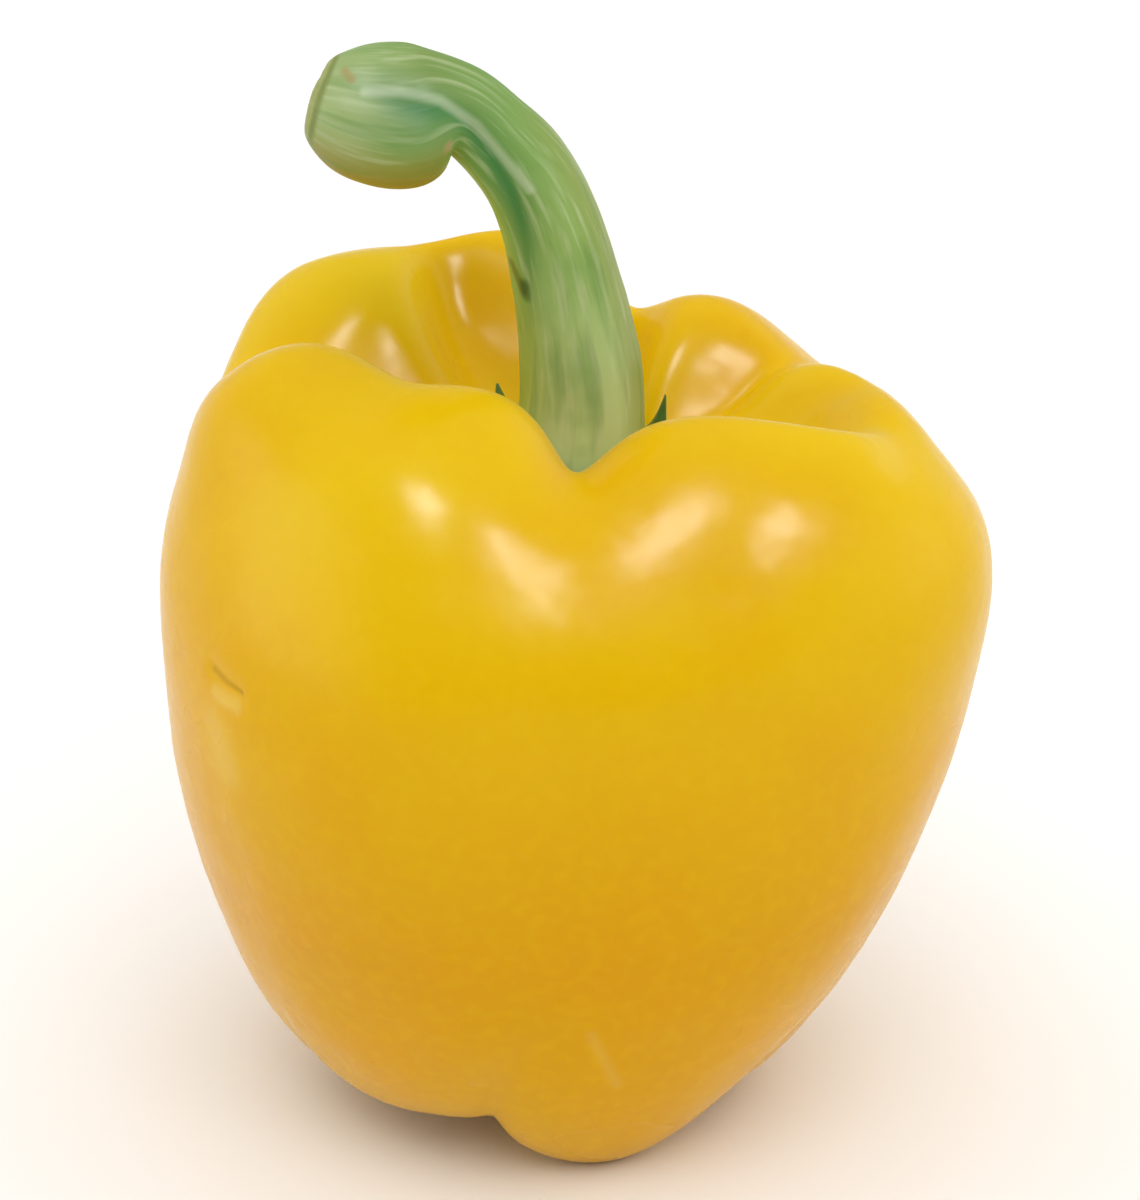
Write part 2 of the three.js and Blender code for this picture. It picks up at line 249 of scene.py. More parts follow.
def place(azimuth, radius, height):
    """The point at an azimuth, radius and height of the leaning fruit."""
    x = radius * np.cos(np.radians(azimuth)) + leaning(height)
    y = radius * np.sin(np.radians(azimuth))
    return np.stack([x, y, np.maximum(0, height)], axis=-1)


def azimuths(columns):
    return np.linspace(0, 360, columns, endpoint=False)


def fruit_rows():
    shares = np.linspace(0, 1, FRUIT_ROWS)
    curve = smooth(over_poles(meridian(azimuths(FRUIT_COLUMNS))), shares)
    return place(azimuths(FRUIT_COLUMNS), curve[..., 0], curve[..., 1])


def on_frame(rows):
    """Moves rows of points from the fruit's own axis to where the frame has the fruit."""
    low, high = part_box("fruit")
    middle = (np.array(low) + np.array(high)) / 2 / MM
    own = FRUIT.reshape(-1, 3)
    shift = middle - (own.min(0) + own.max(0)) / 2
    return rows + shift * [1, 1, 0]


FRUIT = fruit_rows()


# Meshes and node trees

def skin(name, rows, attributes):
    """A closed mesh over rows of points that run round in the same order. The first and last
    rows are poles. attributes maps a name to a number or vector for each point of the rows."""
    count, columns = rows.shape[:2]
    keep = np.arange(count * columns).reshape(count, columns)
    keep = np.concatenate([keep[0, :1], keep[1:-1].ravel(), keep[-1, :1]])
    ring = np.arange(count - 2)[:-1, None] * columns + 1
    here = np.arange(columns)
    after = (here + 1) % columns
    quads = np.stack([ring + here, ring + columns + here, ring + columns + after, ring + after], -1)
    last = 1 + (count - 3) * columns
    top = np.stack([0 * here, 1 + here, 1 + after], -1)
    bottom = np.stack([0 * here + len(keep) - 1, last + after, last + here], -1)
    faces = [*top.tolist(), *quads.reshape(-1, 4).tolist(), *bottom.tolist()]
    mesh = bpy.data.meshes.new(name)
    mesh.from_pydata((on_frame(rows).reshape(-1, 3)[keep] * MM).tolist(), [], faces)
    mesh.shade_smooth()
    for key, values in attributes.items():
        flat = values.reshape(count * columns, -1)[keep].astype(np.float32)
        kind, field = ("FLOAT_VECTOR", "vector") if flat.shape[1] == 3 else ("FLOAT", "value")
        mesh.attributes.new(key, kind, "POINT").data.foreach_set(field, flat.ravel())
    piece = bpy.data.objects.new(name, mesh)
    bpy.context.scene.collection.objects.link(piece)
    return piece


def add(tree, kind, inputs=(), out=0, **settings):
    """Adds a node and gives one of its outputs, by number or name. settings are the node's own
    properties. inputs fills its sockets, in their order or by number or name, each with a plain
    value or with the output that is linked to it."""
    node = tree.nodes.new(kind)
    for key, value in settings.items():
        setattr(node, key, value)
    by_socket = inputs if isinstance(inputs, dict) else dict(enumerate(inputs))
    for key, value in by_socket.items():
        if isinstance(value, bpy.types.NodeSocket):
            tree.links.new(value, node.inputs[key])
        else:
            node.inputs[key].default_value = value
    return node.outputs[out] if len(node.outputs) > 0 else node


def shape_tree(name, sockets):
    """A Geometry Nodes tree with a geometry input and output and the named inputs."""
    tree = bpy.data.node_groups.new(name, "GeometryNodeTree")
    tree.interface.new_socket("Geometry", in_out="INPUT", socket_type="NodeSocketGeometry")
    tree.interface.new_socket("Geometry", in_out="OUTPUT", socket_type="NodeSocketGeometry")
    for label, kind in sockets.items():
        tree.interface.new_socket(label, in_out="INPUT", socket_type="NodeSocket" + kind)
    return tree, add(tree, "NodeGroupInput").node.outputs


def finish_tree(tree, geometry, material):
    """Ends a tree in realized instances with their material."""
    real = add(tree, "GeometryNodeRealizeInstances", [geometry])
    painted = add(tree, "GeometryNodeSetMaterial", {"Geometry": real, "Material": material})
    add(tree, "NodeGroupOutput", [painted])


def grown(piece, tree, values):
    """Runs a tree on a piece and keeps the result as the piece's plain mesh."""
    modifier = piece.modifiers.new(tree.name, "NODES")
    modifier.node_group = tree
    items = [item for item in tree.interface.items_tree if item.in_out == "INPUT"]
    sockets = {item.name: item.identifier for item in items}
    for label, value in values.items():
        modifier[sockets[label]] = value
    graph = bpy.context.evaluated_depsgraph_get()
    result = bpy.data.meshes.new_from_object(
        piece.evaluated_get(graph), preserve_all_data_layers=True, depsgraph=graph
    )
    piece.modifiers.clear()
    plain = piece.data
    piece.data = result
    bpy.data.meshes.remove(plain)
    result.name = piece.name
    result.shade_smooth()
    return piece


def waves(tree, where, size, height, seed):
    """A smooth random height between plus and minus half of height, with hills about size wide."""
    scale = add(tree, "ShaderNodeMath", [1.0, size], operation="DIVIDE")
    spot = add(tree, "ShaderNodeVectorMath", {0: where, "Scale": scale}, operation="SCALE")
    noise = add(
        tree, "ShaderNodeTexNoise", {"Vector": spot, "W": seed, "Scale": 1.0, "Detail": 1.0},
        noise_dimensions="4D",
    )
    level = add(tree, "ShaderNodeMath", [noise, 0.5], operation="SUBTRACT")
    return add(tree, "ShaderNodeMath", [level, height], operation="MULTIPLY")


def lifted(tree, geometry, attribute, height):
    """Moves each point along its normal, by height times its attribute."""
    share = add(tree, "GeometryNodeInputNamedAttribute", {"Name": attribute}, data_type="FLOAT")
    amount = add(tree, "ShaderNodeMath", [height, share], operation="MULTIPLY")
    normal = add(tree, "GeometryNodeInputNormal")
    offset = add(tree, "ShaderNodeVectorMath", {0: normal, "Scale": amount}, operation="SCALE")
    return add(tree, "GeometryNodeSetPosition", {"Geometry": geometry, "Offset": offset})


# Finishes

# Marks on the skin and on the stem, among them painted highlights and a painted reflection: places
# in the frame, distances from the line between them at which a mark starts to fade and ends, its
# strength, and its colour.
SKIN_MARKS_AND_HIGHLIGHTS = [
    # these two, a pale glow and a pale lip below the healed slit, are painted highlight
    ([(-36.5, -26.4, 55.0), (-36.2, -27.2, 51.5)], 0.5, 4.5, 0.28, "#EBCB66"),
    ([(-36.4, -26.6, 59.6), (-34.2, -29.6, 59.6)], 0.3, 1.6, 0.35, "#EDD070"),
    ([(-36.8, -25.6, 61.9), (-35.4, -27.9, 61.5), (-33.7, -30.0, 61.3)], 0.1, 0.6, 0.65, "#A5780C"),
    ([(1.8, -36.4, 25.2), (4.5, -32.9, 17.1)], 0.1, 1.1, 0.12, "#EED27A"),
    # painted reflection: a pale patch on the crest of the right-front lobe
    ([(32.0, -18.3, 81.8), (30.5, -15.0, 83.5)], 0.5, 4.0, 0.18, "#EED27A"),
]
STEM_MARKS_AND_HIGHLIGHT = [
    # painted highlight: a whitish streak along the ridge above the main furrow, from the knob down the
    # neck
    ([(-20.7, -12.6, 118.9), (-17.2, -12.5, 118.9), (-13.3, -11.8, 117.8), (-9.9, -9.5, 114.5),
      (-6.5, -8.1, 109.7), (-4.5, -7.6, 106.9)], 0.1, 0.9, 0.38, "#D3DEBE"),
    ([(-13.3, -11.4, 112.6), (-12.5, -12.0, 113.0)], 0.2, 1.1, 0.50, "#B9906A"),
    ([(-22.7, -10.7, 120.4), (-22.0, -11.5, 119.8)], 0.1, 0.8, 0.45, "#A9702F"),
    ([(-6.4, -2.8, 97.3), (-5.3, -3.2, 94.4)], 0.2, 0.9, 0.65, "#6B6A2A"),
    ([(-5.1, -3.5, 95.0), (-5.2, -3.6, 93.8)], 0.2, 1.2, 0.75, "#3C5A24"),
]


def linear(colour):
    """A hex sRGB colour as linear red, green, blue and alpha."""
    parts = [int(colour[i:i + 2], 16) / 255 for i in (1, 3, 5)]
    return [p / 12.92 if p <= 0.04045 else ((p + 0.055) / 1.055) ** 2.4 for p in parts] + [1.0]


def material_of(name, **values):
    """A new material whose one shader has its plain numbers and colours set on its sockets."""
    material = bpy.data.materials.new(name)
    material.use_nodes = True
    tree = material.node_tree
    tree.nodes.clear()
    shader = add(tree, "ShaderNodeBsdfPrincipled").node
    for label, value in values.items():
        shader.inputs[label.replace("_", " ")].default_value = value
    add(tree, "ShaderNodeOutputMaterial", {"Surface": shader.outputs[0]})
    return material, tree, shader


def with_stops(ramp, stops):
    """Gives a colour ramp its stops of place and hex colour."""
    points = ramp.node.color_ramp.elements
    while len(points) < len(stops):
        points.new(0.5)
    for point, (where, colour) in zip(points, stops):
        point.position = where
        point.color = linear(colour)
    return ramp


def laid(tree, colour, mask, strength, shade):
    """A colour with another one, given in hex, laid over it by a mask and at a strength."""
    share = add(tree, "ShaderNodeMath", [mask, strength], operation="MULTIPLY")
    inputs = {0: share, 6: colour, 7: linear(shade)}
    return add(tree, "ShaderNodeMix", inputs, out=2, data_type="RGBA")


def meeting(tree, *shares):
    """The product of shares, each given as a value, the low and high ends that it is eased
    between, and what it gives at those ends, which is 0 and 1 where nothing else is said."""
    parts = [add(tree, "ShaderNodeMapRange", share, interpolation_type="SMOOTHSTEP") for share in shares]
    product = parts[0]
    for part in parts[1:]:
        product = add(tree, "ShaderNodeMath", [product, part], operation="MULTIPLY")
    return product


def patches(tree, where, size, detail, low, high, rest=0.0, full=1.0):
    """A value that goes from rest to full in random patches about size metres wide. low and high
    are the levels of the noise at which a patch starts and is full."""
    noise = add(tree, "ShaderNodeTexNoise", {"Vector": where, "Scale": 1 / size, "Detail": detail})
    return meeting(tree, (noise, low, high, rest, full))


def stroke(tree, where, start, end, inner, outer):
    """1 near the line between two places in millimetres, fading to 0 at the outer distance."""
    span = np.subtract(end, start)
    away = add(tree, "ShaderNodeVectorMath", [where, Vector(start) * MM], operation="SUBTRACT")
    per_span = Vector(span / (span @ span) / MM)
    along = add(tree, "ShaderNodeVectorMath", [away, per_span], out=1, operation="DOT_PRODUCT")
    share = add(tree, "ShaderNodeClamp", [along])
    nearest = add(
        tree, "ShaderNodeVectorMath", {0: Vector(span) * MM, "Scale": share}, operation="SCALE",
    )
    offset = add(tree, "ShaderNodeVectorMath", [away, nearest], operation="SUBTRACT")
    distance = add(tree, "ShaderNodeVectorMath", [offset], out=1, operation="LENGTH")
    return meeting(tree, (distance, inner * MM, outer * MM, 1.0, 0.0))


def path_of(tree, where, points, inner, outer):
    """The strokes along a run of places, as one mask."""
    mask = 0.0
    for start, end in zip(points, points[1:]):
        part = stroke(tree, where, start, end, inner, outer)
        mask = add(tree, "ShaderNodeMath", [mask, part], operation="MAXIMUM")
    return mask


# the skin's colours, darker and more orange towards the toes, are partly ripeness and partly painted
# shade
RIPENESS_AND_SHADE_HEIGHT = 92  # height that the skin's colours are spread over, from the toes up


def pepper_skin():
    """Ripe yellow pepper skin: a thin waxy cuticle over translucent flesh. It gives clear but
    soft-edged highlights, a pale bloom of wax towards the edges, and a colour that deepens to
    orange and darkens towards the toes, partly where the skin ripened first and partly as painted
    shade of the light from above."""
    material, tree, shader = material_of(
        "glossy_yellow_pepper_skin",
        IOR=1.42,
        Specular_IOR_Level=0.12,
        Subsurface_Weight=0.12,
        Subsurface_Radius=(1.0, 0.45, 0.05),
        Subsurface_Scale=3 * MM,
        Sheen_Weight=0.09,
        Sheen_Roughness=0.3,
    )
    where = add(tree, "ShaderNodeTexCoord", out="Object")
    height = add(tree, "ShaderNodeSeparateXYZ", [where], out=2)
    share = add(tree, "ShaderNodeMath", [height, RIPENESS_AND_SHADE_HEIGHT * MM], operation="DIVIDE")
    # darker and more orange towards the toes: partly where the skin ripened first, partly painted shade
    # of the light from above
    colour = with_stops(add(tree, "ShaderNodeValToRGB", [share]), [
        (0.0, "#DAA800"), (0.35, "#D89D00"), (0.6, "#E0AD00"), (0.8, "#E5B800"), (1.0, "#E7C200"),
    ])
    blush = patches(tree, where, 24 * MM, 1.0, 0.42, 0.68)
    colour = laid(tree, colour, blush, 0.35, "#DC9B00")
    freckles = patches(tree, where, 1.6 * MM, 0.0, 0.4, 0.8)
    colour = laid(tree, colour, freckles, 0.10, "#ECC60F")
    # marks, with painted highlight below the scar and a painted reflection on the right-front crest
    for points, inner, outer, strength, shade in SKIN_MARKS_AND_HIGHLIGHTS:
        mark_and_highlight = path_of(tree, where, points, inner, outer)
        colour = laid(tree, colour, mark_and_highlight, strength, shade)
    tree.links.new(colour, shader.inputs["Base Color"])
    wax = patches(tree, where, 9 * MM, 1.0, 0.3, 0.7, 0.24, 0.29)
    tree.links.new(wax, shader.inputs["Roughness"])
    return material


def stem_green():
    """Fresh stem and calyx: satin green rind, paler on the knob and at the base, with whitish
    lengthwise strokes, a painted highlight along one ridge, a blue-green furrow, olive where the
    knob hangs over, and a pale cut."""
    material, tree, shader = material_of(
        "satin_green_stem_rind",
        IOR=1.42,
        Specular_IOR_Level=0.2,
        Subsurface_Weight=0.05,
        Subsurface_Radius=(0.5, 0.6, 0.2),
        Subsurface_Scale=2 * MM,
    )
    where = add(tree, "ShaderNodeTexCoord", out="Object")
    fibre = add(tree, "ShaderNodeAttribute", out="Vector", attribute_name="fibre")
    along, furrow, calyx, under, left, cut = (
        add(tree, "ShaderNodeAttribute", out="Fac", attribute_name=name)
        for name in ("along", "furrow", "calyx", "under", "left", "cut")
    )
    colour = with_stops(add(tree, "ShaderNodeValToRGB", [along]), [
        (0.0, "#9CAA6C"), (0.3, "#9DB072"), (0.45, "#7D954B"),
        (0.58, "#759B4B"), (0.75, "#95B564"), (1.0, "#BDD291"),
    ])
    darker = patches(tree, where, 8 * MM, 3.0, 0.40, 0.70)
    colour = laid(tree, colour, darker, 0.5, "#6F9A45")
    # the lower stem is yellower on its left and sunned on its right
    yellow = meeting(tree, (left, 0.3, 1.0), (along, 0.45, 0.75))
    colour = laid(tree, colour, yellow, 0.75, "#A3BA45")
    sunny = meeting(tree, (left, -0.5, -0.95), (along, 0.5, 0.7))
    colour = laid(tree, colour, sunny, 0.7, "#8A9443")
    # the knob's underside is olive, and the main furrow is deep green in the middle of the stem
    hang = meeting(tree, (under, 0.0, 0.9), (along, 0.5, 0.4))
    colour = laid(tree, colour, hang, 0.9, "#94822A")
    middle = meeting(tree, (along, 0.95, 0.65), (along, 0.22, 0.42))
    deep = add(tree, "ShaderNodeMath", [furrow, middle], operation="MULTIPLY")
    colour = laid(tree, colour, deep, 0.95, "#3F7D43")
    # pale and dark strokes follow the fibres
    brushed = patches(tree, fibre, 0.9 * MM, 2.0, 0.50, 0.75)
    colour = laid(tree, colour, brushed, 0.40, "#C3CFA2")
    combed = patches(tree, fibre, 1.7 * MM, 2.0, 0.50, 0.72)
    colour = laid(tree, colour, combed, 0.45, "#5F8A3C")
    # marks, the first of them a painted highlight along a ridge
    for points, inner, outer, strength, shade in STEM_MARKS_AND_HIGHLIGHT:
        mark_and_highlight = path_of(tree, where, points, inner, outer)
        colour = laid(tree, colour, mark_and_highlight, strength, shade)
    colour = laid(tree, colour, calyx, 0.85, "#3F6A2C")
    # the cut end has a darker rim round its mottled pith
    colour = laid(tree, colour, meeting(tree, (cut, 0.1, 0.35)), 1.0, "#7D8A48")
    mottle = add(tree, "ShaderNodeTexNoise", {"Vector": where, "Scale": 1 / (0.7 * MM), "Detail": 2.0})
    inputs = {0: mottle, 6: linear("#8C9452"), 7: linear("#A9AD6E")}
    pith = add(tree, "ShaderNodeMix", inputs, out=2, data_type="RGBA")
    inputs = {0: meeting(tree, (cut, 0.4, 0.6)), 6: colour, 7: pith}
    colour = add(tree, "ShaderNodeMix", inputs, out=2, data_type="RGBA")
    tree.links.new(colour, shader.inputs["Base Color"])
    satin = patches(tree, fibre, 2 * MM, 3.0, 0.3, 0.7, 0.36, 0.50)
    tree.links.new(satin, shader.inputs["Roughness"])
    grain = add(tree, "ShaderNodeTexNoise", {"Vector": fibre, "Scale": 1 / (0.5 * MM), "Detail": 3.0})
    bump = add(tree, "ShaderNodeBump", {"Height": grain, "Strength": 0.25, "Distance": 0.2 * MM})
    tree.links.new(bump, shader.inputs["Normal"])
    return material


def pale_floor():
    """Plain matt paper."""
    return material_of("matt_white_paper", Base_Color=linear("#FBFAF8"), Roughness=0.9)[0]


# The fruit

CREASE_WIDTH = 4  # half width in degrees of the crease in a groove, at the toes
CREASE_DEPTH = 1.5
CREASE_ROUND = 0.4  # roundness of its bed
CREASE_TURN = ((4, -14), (23, -4), (50, -1))  # heights, and how far the crease has turned there
CREASE_SHARE = ((0, 1.0), (7, 1.0), (25, 0.22), (52, 0.0))  # heights, and the share of its depth
SCAR = ((-36.8, -25.6, 61.9), (-33.7, -30.0, 61.3))  # ends of the healed slit
SCAR_WIDTH = 0.7
SCAR_DEPTH = 0.45
TOE_CALM = 8  # height below which the relief fades, so that the toes stand level
CALYX_CALM = 15  # radius round the calyx that stays without relief
CALYX_FADE = 5  # and how much further out the relief is full
HOLLOW_DEPTH = 4  # how far the hollow's floor may lie below the seat


def fruit_creases():
    """How far each point of the fruit is drawn in by the creases and the scar."""
    height = FRUIT[..., 2]
    azimuth = np.degrees(np.arctan2(FRUIT[..., 1], FRUIT[..., 0] - leaning(height)))
    turn = np.interp(height, *zip(*CREASE_TURN))
    outside = (np.arange(FRUIT_ROWS) > FRUIT_ROWS / 2)[:, None]
    share = np.interp(height, *zip(*CREASE_SHARE)) * outside
    most = max(g["toe"] for g in GROOVES.values())
    depth = sum(
        g["toe"] / most * notch(apart(azimuth, g["at"] + turn), CREASE_WIDTH, CREASE_ROUND)
        for g in GROOVES.values()
    )
    start, end = np.array(SCAR)
    span = end - start
    away = on_frame(FRUIT) - start
    along = np.clip(away @ span / (span @ span), 0, 1)
    distance = np.linalg.norm(away - along[..., None] * span, axis=-1)
    return CREASE_DEPTH * share * depth + SCAR_DEPTH * np.exp(-((distance / SCAR_WIDTH) ** 2))


def make_fruit():
    tree, given = shape_tree("skin_relief", {
        "Wave Size": "Float", "Wave Height": "Float", "Ripple Size": "Float",
        "Ripple Height": "Float", "Crease Depth": "Float", "Seed": "Float", "Skin": "Material",
    })
    where = add(tree, "GeometryNodeInputPosition")
    wide = waves(tree, where, given["Wave Size"], given["Wave Height"], given["Seed"])
    small = waves(tree, where, given["Ripple Size"], given["Ripple Height"], given["Seed"])
    both = add(tree, "ShaderNodeMath", [wide, small], operation="ADD")
    moved = lifted(tree, given["Geometry"], "relief", both)
    inward = add(tree, "ShaderNodeMath", [given["Crease Depth"], -1.0], operation="MULTIPLY")
    finish_tree(tree, lifted(tree, moved, "crease", inward), given["Skin"])

    radius = np.hypot(FRUIT[..., 0], FRUIT[..., 1])
    from_calyx = np.clip((radius - CALYX_CALM) / CALYX_FADE, 0, 1)
    in_hollow = FRUIT[..., 2] > SEAT_HEIGHT - HOLLOW_DEPTH
    relief = np.clip(FRUIT[..., 2] / TOE_CALM, 0, 1) * np.where(in_hollow, from_calyx, 1)
    piece = skin("fruit_skin", FRUIT, {"relief": relief, "crease": fruit_creases()})
    return grown(piece, tree, {
        "Wave Size": 20 * MM, "Wave Height": 0.9 * MM, "Ripple Size": 3 * MM,
        "Ripple Height": 0.15 * MM, "Crease Depth": 1 * MM, "Seed": 3.0, "Skin": pepper_skin(),
    })


# The stem and its calyx

# Path from the cut end down to the calyx: place and radius.
STEM_PATH = [
    (-26.0, -7.0, 116.5, 4.6),
    (-24.0, -7.6, 116.0, 6.5),
    (-21.2, -7.2, 115.1, 7.5),
    (-16.9, -6.5, 114.3, 7.9),
    (-14.4, -5.9, 115.2, 6.5),
    (-12.2, -5.1, 115.2, 4.8),
    (-9.3, -4.2, 112.3, 4.6),
    (-5.8, -2.5, 108.0, 5.2),
    (-3.3, -0.8, 102.2, 5.4),
    (-1.8, 0.3, 96.0, 5.8),
    (-0.7, 0.4, 90.0, 6.2),
    (0.1, 0.2, 85.0, 6.7),
    (0.3, 0.1, 80.5, 6.9),
]
CUT_DIP = 0.3  # how far the middle of the cut end is sunk
CUT_RING = 0.5  # radius of the sunk middle, as a share of the end section
CUT_EDGE = 0.85  # and radius of the flat cut
CUT_ROWS = 3  # control rows of the cut end, before those of the path
CUT_REACH = 3.6  # where the cut's colour ends, counted in control rows

# Furrows between the stem's ribs: azimuth at the calyx, turn up to the cut end, share of radius.
FURROWS = [
    dict(at=195, turn=130, depth=0.13),
    dict(at=262, turn=125, depth=0.04),
    dict(at=318, turn=120, depth=0.05),
    dict(at=12, turn=120, depth=0.06),
    dict(at=75, turn=120, depth=0.07),
    dict(at=140, turn=125, depth=0.07),
]
FURROW_WIDTH = 15
FURROW_ROUND = 0.5
FIBRE_RADIUS = 6  # radius at which the stem's fibres are laid out
FIBRE_STRETCH = 9  # how much longer than wide they are

# Corners of the calyx: azimuth, reach past its round edge, and lift of the tip off the fruit.
CORNERS = [
    dict(at=270, reach=0.6, lift=0.7),
    dict(at=328, reach=2.2, lift=0.4),
    dict(at=25, reach=1.0, lift=5.6),
    dict(at=84, reach=2.6, lift=1.2),
    dict(at=141, reach=1.9, lift=4.6),
    dict(at=206, reach=2.4, lift=0.6),
]
CALYX_RADIUS = 9.3
CALYX_THICKNESS = 1.4
CORNER_WIDTH = 24  # half width in degrees
CORNER_SHARPNESS = 1.5
CORNER_CURL = 1.4  # how much of a corner's lift its tip takes, as a power
UPPER_RISE = 3  # how late the upper face rises to a lifted corner, as a power
UNDER_RISE = 6
CALYX_GAP = 0.6  # clearance between the calyx and the fruit
# Upper face: share of the way from the stem to the edge, and height over the gap.
CALYX_FLARE = ((0.1, 4.2), (0.3, 2.6), (0.65, 1.9), (1.0, CALYX_THICKNESS))
CALYX_UNDER = (0.98, 0.85, 0.7, 0.4, 0.0)  # rows of the underside, as shares of the edge's radius

STEM_COLUMNS = 180
STEM_ROWS = 220
CALM_ROWS = 6  # last rows of the upper face, which stay without relief


def seat_height(azimuth, radius):
    """Height of the floor of the stem's hollow at each azimuth, at that azimuth's radius."""
    upper_half = np.linspace(0, 0.5, 200)
    curve = smooth(over_poles(meridian(azimuth)), upper_half)
    return np.array([
        np.interp(reach, curve[:, column, 0], curve[:, column, 1])
        for column, reach in enumerate(np.broadcast_to(radius, azimuth.shape))
    ])


def calyx_edge(azimuth):
    """Radius and lift of the calyx's edge at each azimuth."""
    radius = np.full_like(azimuth, CALYX_RADIUS)
    lift = np.zeros_like(azimuth)
    for corner in CORNERS:
        away = np.abs(apart(azimuth, corner["at"]))
        share = np.maximum(0, 1 - away / CORNER_WIDTH) ** CORNER_SHARPNESS
        radius += corner["reach"] * share
        lift += corner["lift"] * share**CORNER_CURL
    return radius, lift


def furrow_depth(azimuth, down):
    """How deep the furrows are at each azimuth, at a share of the way down to the calyx."""
    return sum(
        f["depth"] * notch(apart(azimuth, f["at"] + f["turn"] * (1 - down)), FURROW_WIDTH, FURROW_ROUND)
        for f in FURROWS
    )


def stem_section(azimuth, middle, along, radius, down):
    """One section of the stem, square to its path."""
    rear = np.array([0, 1, 0]) - along[1] * along
    rear = rear / np.linalg.norm(rear)
    right = np.cross(rear, along)
    reach = radius * (1 - furrow_depth(azimuth, down))
    around = np.radians(azimuth)
    return middle + np.outer(reach * np.cos(around), right) + np.outer(reach * np.sin(around), rear)


def stem_sections(azimuth):
    """Control rows of the stem from the middle of the cut end down to the calyx."""
    path = np.array(STEM_PATH)
    middles = path[:, :3]
    ends = np.concatenate([middles[:1], middles, middles[-1:]])
    ways = ends[:-2] - ends[2:]
    ways /= np.linalg.norm(ways, axis=1, keepdims=True)
    downs = np.linspace(0, 1, len(path))
    sections = [
        stem_section(azimuth, middle, way, radius, down)
        for middle, way, radius, down in zip(middles, ways, path[:, 3], downs)
    ]
    sunk = middles[0] - CUT_DIP * ways[0]
    cut = stem_section(azimuth, middles[0], ways[0], CUT_EDGE * path[0, 3], 0)
    inner = stem_section(azimuth, sunk, ways[0], CUT_RING * path[0, 3], 0)
    return [sunk + 0 * cut, inner, cut, *sections]


def calyx_flare(azimuth):
    """Control rows of the calyx's upper face, flaring from the stem to the edge."""
    foot = STEM_PATH[-1][3]
    edge, lift = calyx_edge(azimuth)
    rows = []
    for reach, height in CALYX_FLARE:
        radius = foot + reach * (edge - foot)
        up = CALYX_GAP + height + lift * reach**UPPER_RISE
        rows.append(place(azimuth, radius, seat_height(azimuth, radius) + up))
    return rows


def calyx_underside(azimuth):
    """Rows of the calyx's underside, which follows the fruit below it."""
    edge, lift = calyx_edge(azimuth)
    rows = []
    for reach in CALYX_UNDER:
        up = CALYX_GAP + lift * reach**UNDER_RISE
        rows.append(place(azimuth, reach * edge, seat_height(azimuth, reach * edge) + up))
    return rows


def make_stem():
    tree, given = shape_tree("stem_relief", {
        "Wave Size": "Float", "Wave Height": "Float", "Fibre Width": "Float",
        "Fibre Height": "Float", "Seed": "Float", "Rind": "Material",
    })
    where = add(tree, "GeometryNodeInputPosition")
    knots = waves(tree, where, given["Wave Size"], given["Wave Height"], given["Seed"])
    laid_out = add(
        tree, "GeometryNodeInputNamedAttribute", {"Name": "fibre"}, data_type="FLOAT_VECTOR",
    )
    fibres = waves(tree, laid_out, given["Fibre Width"], given["Fibre Height"], given["Seed"])
    both = add(tree, "ShaderNodeMath", [knots, fibres], operation="ADD")
    finish_tree(tree, lifted(tree, given["Geometry"], "relief", both), given["Rind"])

    azimuth = azimuths(STEM_COLUMNS)
    controls = np.array([*stem_sections(azimuth), *calyx_flare(azimuth)])
    upper = smooth(held(controls), np.linspace(0, 1, STEM_ROWS))
    under = np.array(calyx_underside(azimuth))
    rows = np.concatenate([upper, under])

    # index says between which control rows each row lies, and the masks are worked out from it
    last = len(controls) - 1
    index = np.concatenate([np.linspace(0, last, STEM_ROWS), np.full(len(under), last)])
    step = np.linalg.norm(np.diff(rows.mean(1), axis=0), axis=1)
    length = np.concatenate([[0], np.cumsum(step)])
    flare = len(controls) - len(CALYX_FLARE)
    calyx = np.clip((index - flare) / 2, 0, 1)
    relief = np.clip(index / 2, 0, 1) * (np.arange(len(rows)) < STEM_ROWS - CALM_ROWS)
    along = np.clip(index / (flare - 1), 0, 1)
    down = np.clip((index - CUT_ROWS) / (len(STEM_PATH) - 1), 0, 1)
    main = FURROWS[0]
    furrow = [
        notch(apart(azimuth, main["at"] + main["turn"] * (1 - share)), FURROW_WIDTH, FURROW_ROUND)
        for share in down
    ]
    around = np.radians(azimuth)
    across = np.ones(STEM_COLUMNS)
    fibre = np.stack([
        np.outer(np.ones(len(rows)), FIBRE_RADIUS * np.cos(around)),
        np.outer(np.ones(len(rows)), FIBRE_RADIUS * np.sin(around)),
        np.outer(length / FIBRE_STRETCH, across),
    ], axis=-1)
    middles = rows.mean(1, keepdims=True)
    reach = np.linalg.norm(rows - middles, axis=-1) + 1e-6
    piece = skin("stem_and_calyx", rows, {
        "along": np.outer(along, across),
        "fibre": fibre * MM,
        "calyx": np.outer(calyx, across),
        "cut": np.outer(np.clip(CUT_REACH - index, 0, 1), across),
        "relief": np.outer(relief, across),
        "furrow": np.array(furrow),
        "under": (middles - rows)[..., 2] / reach,
        "left": (middles - rows)[..., 0] / reach,
    })
    return grown(piece, tree, {
        "Wave Size": 9 * MM, "Wave Height": 0.5 * MM, "Fibre Width": 0.8 * MM,
        "Fibre Height": 0.10 * MM, "Seed": 5.0, "Rind": stem_green(),
    })


# Floor, light and camera

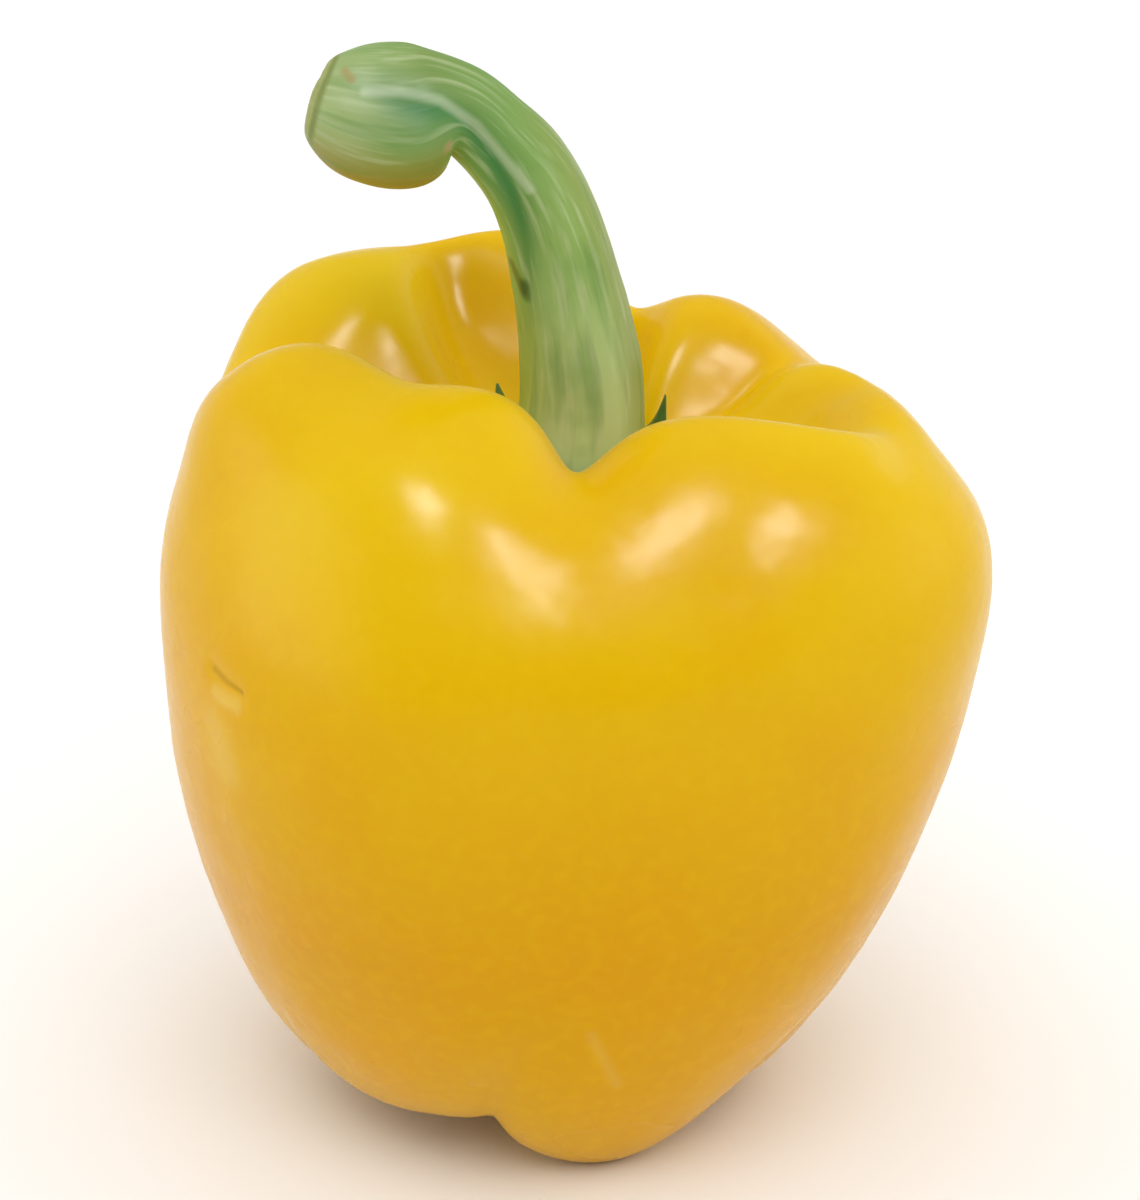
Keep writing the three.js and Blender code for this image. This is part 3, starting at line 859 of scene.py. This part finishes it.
VIEW_TARGET = Vector(on_frame(np.array([-1.0, 0.0, 57.8]))) * MM
VIEW_DISTANCE = 480 * MM
VIEW_ELEVATION = 25
FOCAL_PIXELS = 4480  # in the photograph's 1140 by 1200 frame
FRAME_HEIGHT = 1200
LAMP_DISTANCE = 1.0
ROOM_LIGHT = 0.95
FLOOR_HALF = 4000
FLOOR_DROP = 0.02  # how far the floor lies below the toes


def direction(azimuth, elevation):
    """The way from the pepper to a lamp or camera. Azimuth 0 is the photograph's side."""
    a, e = math.radians(azimuth), math.radians(elevation)
    return Vector((math.sin(a) * math.cos(e), -math.cos(a) * math.cos(e), math.sin(e)))


def aimed(thing, way, distance):
    thing.location = VIEW_TARGET + way * distance
    thing.rotation_euler = (-way).to_track_quat("-Z", "Y").to_euler()
    bpy.context.scene.collection.objects.link(thing)
    return thing


def softbox(name, shape, azimuth, elevation, width, height, watts):
    """A lamp that shows only as its mirror image in the skin. The fill and the room do the rest."""
    lamp = bpy.data.lights.new(name, "AREA")
    lamp.shape = shape
    lamp.size = width
    lamp.size_y = height
    lamp.energy = watts
    thing = aimed(bpy.data.objects.new(name, lamp), direction(azimuth, elevation), LAMP_DISTANCE)
    thing.visible_diffuse = False
    return thing


def make_floor():
    corners = [(-1, -1), (1, -1), (1, 1), (-1, 1)]
    points = [(x * FLOOR_HALF * MM, y * FLOOR_HALF * MM, -FLOOR_DROP * MM) for x, y in corners]
    mesh = bpy.data.meshes.new("floor")
    mesh.from_pydata(points, [], [(0, 1, 2, 3)])
    mesh.materials.append(pale_floor())
    floor = bpy.data.objects.new("floor", mesh)
    bpy.context.scene.collection.objects.link(floor)


def make_surroundings():
    """A pale room: bright overhead and to both sides, and dim on the camera's side."""
    world = bpy.data.worlds.new("pale_room")
    world.use_nodes = True
    tree = world.node_tree
    tree.nodes.clear()
    way = add(tree, "ShaderNodeTexCoord", out="Generated")
    x, y, z = add(tree, "ShaderNodeSeparateXYZ", [way]).node.outputs
    beside = add(tree, "ShaderNodeMath", [x], operation="ABSOLUTE")
    around = meeting(
        tree,
        (y, -0.75, 0.1, 0.35, 1.0),  # dim on the camera's side
        (y, 0.5, 0.9, 1.0, 0.6),  # less bright right behind
        (beside, 0.1, 0.7, 0.75, 1.3),  # brightest to both sides
    )
    above = meeting(tree, (z, 0.35, 0.95, 0.0, 1.35))
    glow = add(tree, "ShaderNodeMath", [around, above], operation="MAXIMUM")
    glow = add(tree, "ShaderNodeMath", [glow, ROOM_LIGHT], operation="MULTIPLY")
    seen = add(tree, "ShaderNodeLightPath", out="Is Camera Ray")
    strength = add(tree, "ShaderNodeMath", [glow, seen], operation="MAXIMUM")
    back = add(tree, "ShaderNodeBackground", {"Color": linear("#FFFFFF"), "Strength": strength})
    add(tree, "ShaderNodeOutputWorld", {"Surface": back})
    bpy.context.scene.world = world


def make_camera():
    lens = bpy.data.cameras.new("camera")
    lens.lens = FOCAL_PIXELS * lens.sensor_width / FRAME_HEIGHT
    lens.clip_start = 0.01
    camera = aimed(bpy.data.objects.new("camera", lens), direction(0, VIEW_ELEVATION), VIEW_DISTANCE)
    bpy.context.scene.camera = camera


fruit = make_fruit()
stem = make_stem()
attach(fruit, "root")
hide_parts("fruit")
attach(stem, "root")
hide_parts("stem")

make_floor()
make_surroundings()
softbox("key_lamp_left", "ELLIPSE", -22, 58, 0.30, 0.30, 13)
softbox("key_lamp_right", "ELLIPSE", 41, 40, 0.30, 0.30, 13)
fill = softbox("fill_lamp", "ELLIPSE", 8, 52, 0.60, 0.60, 2.0)
fill.visible_diffuse = True
fill.visible_glossy = False
softbox("left_card", "RECTANGLE", -75, 0, 0.90, 1.00, 7)
softbox("right_card", "RECTANGLE", 78, 0, 0.90, 1.00, 4)
make_camera()
bpy.context.scene.view_settings.view_transform = "Standard"
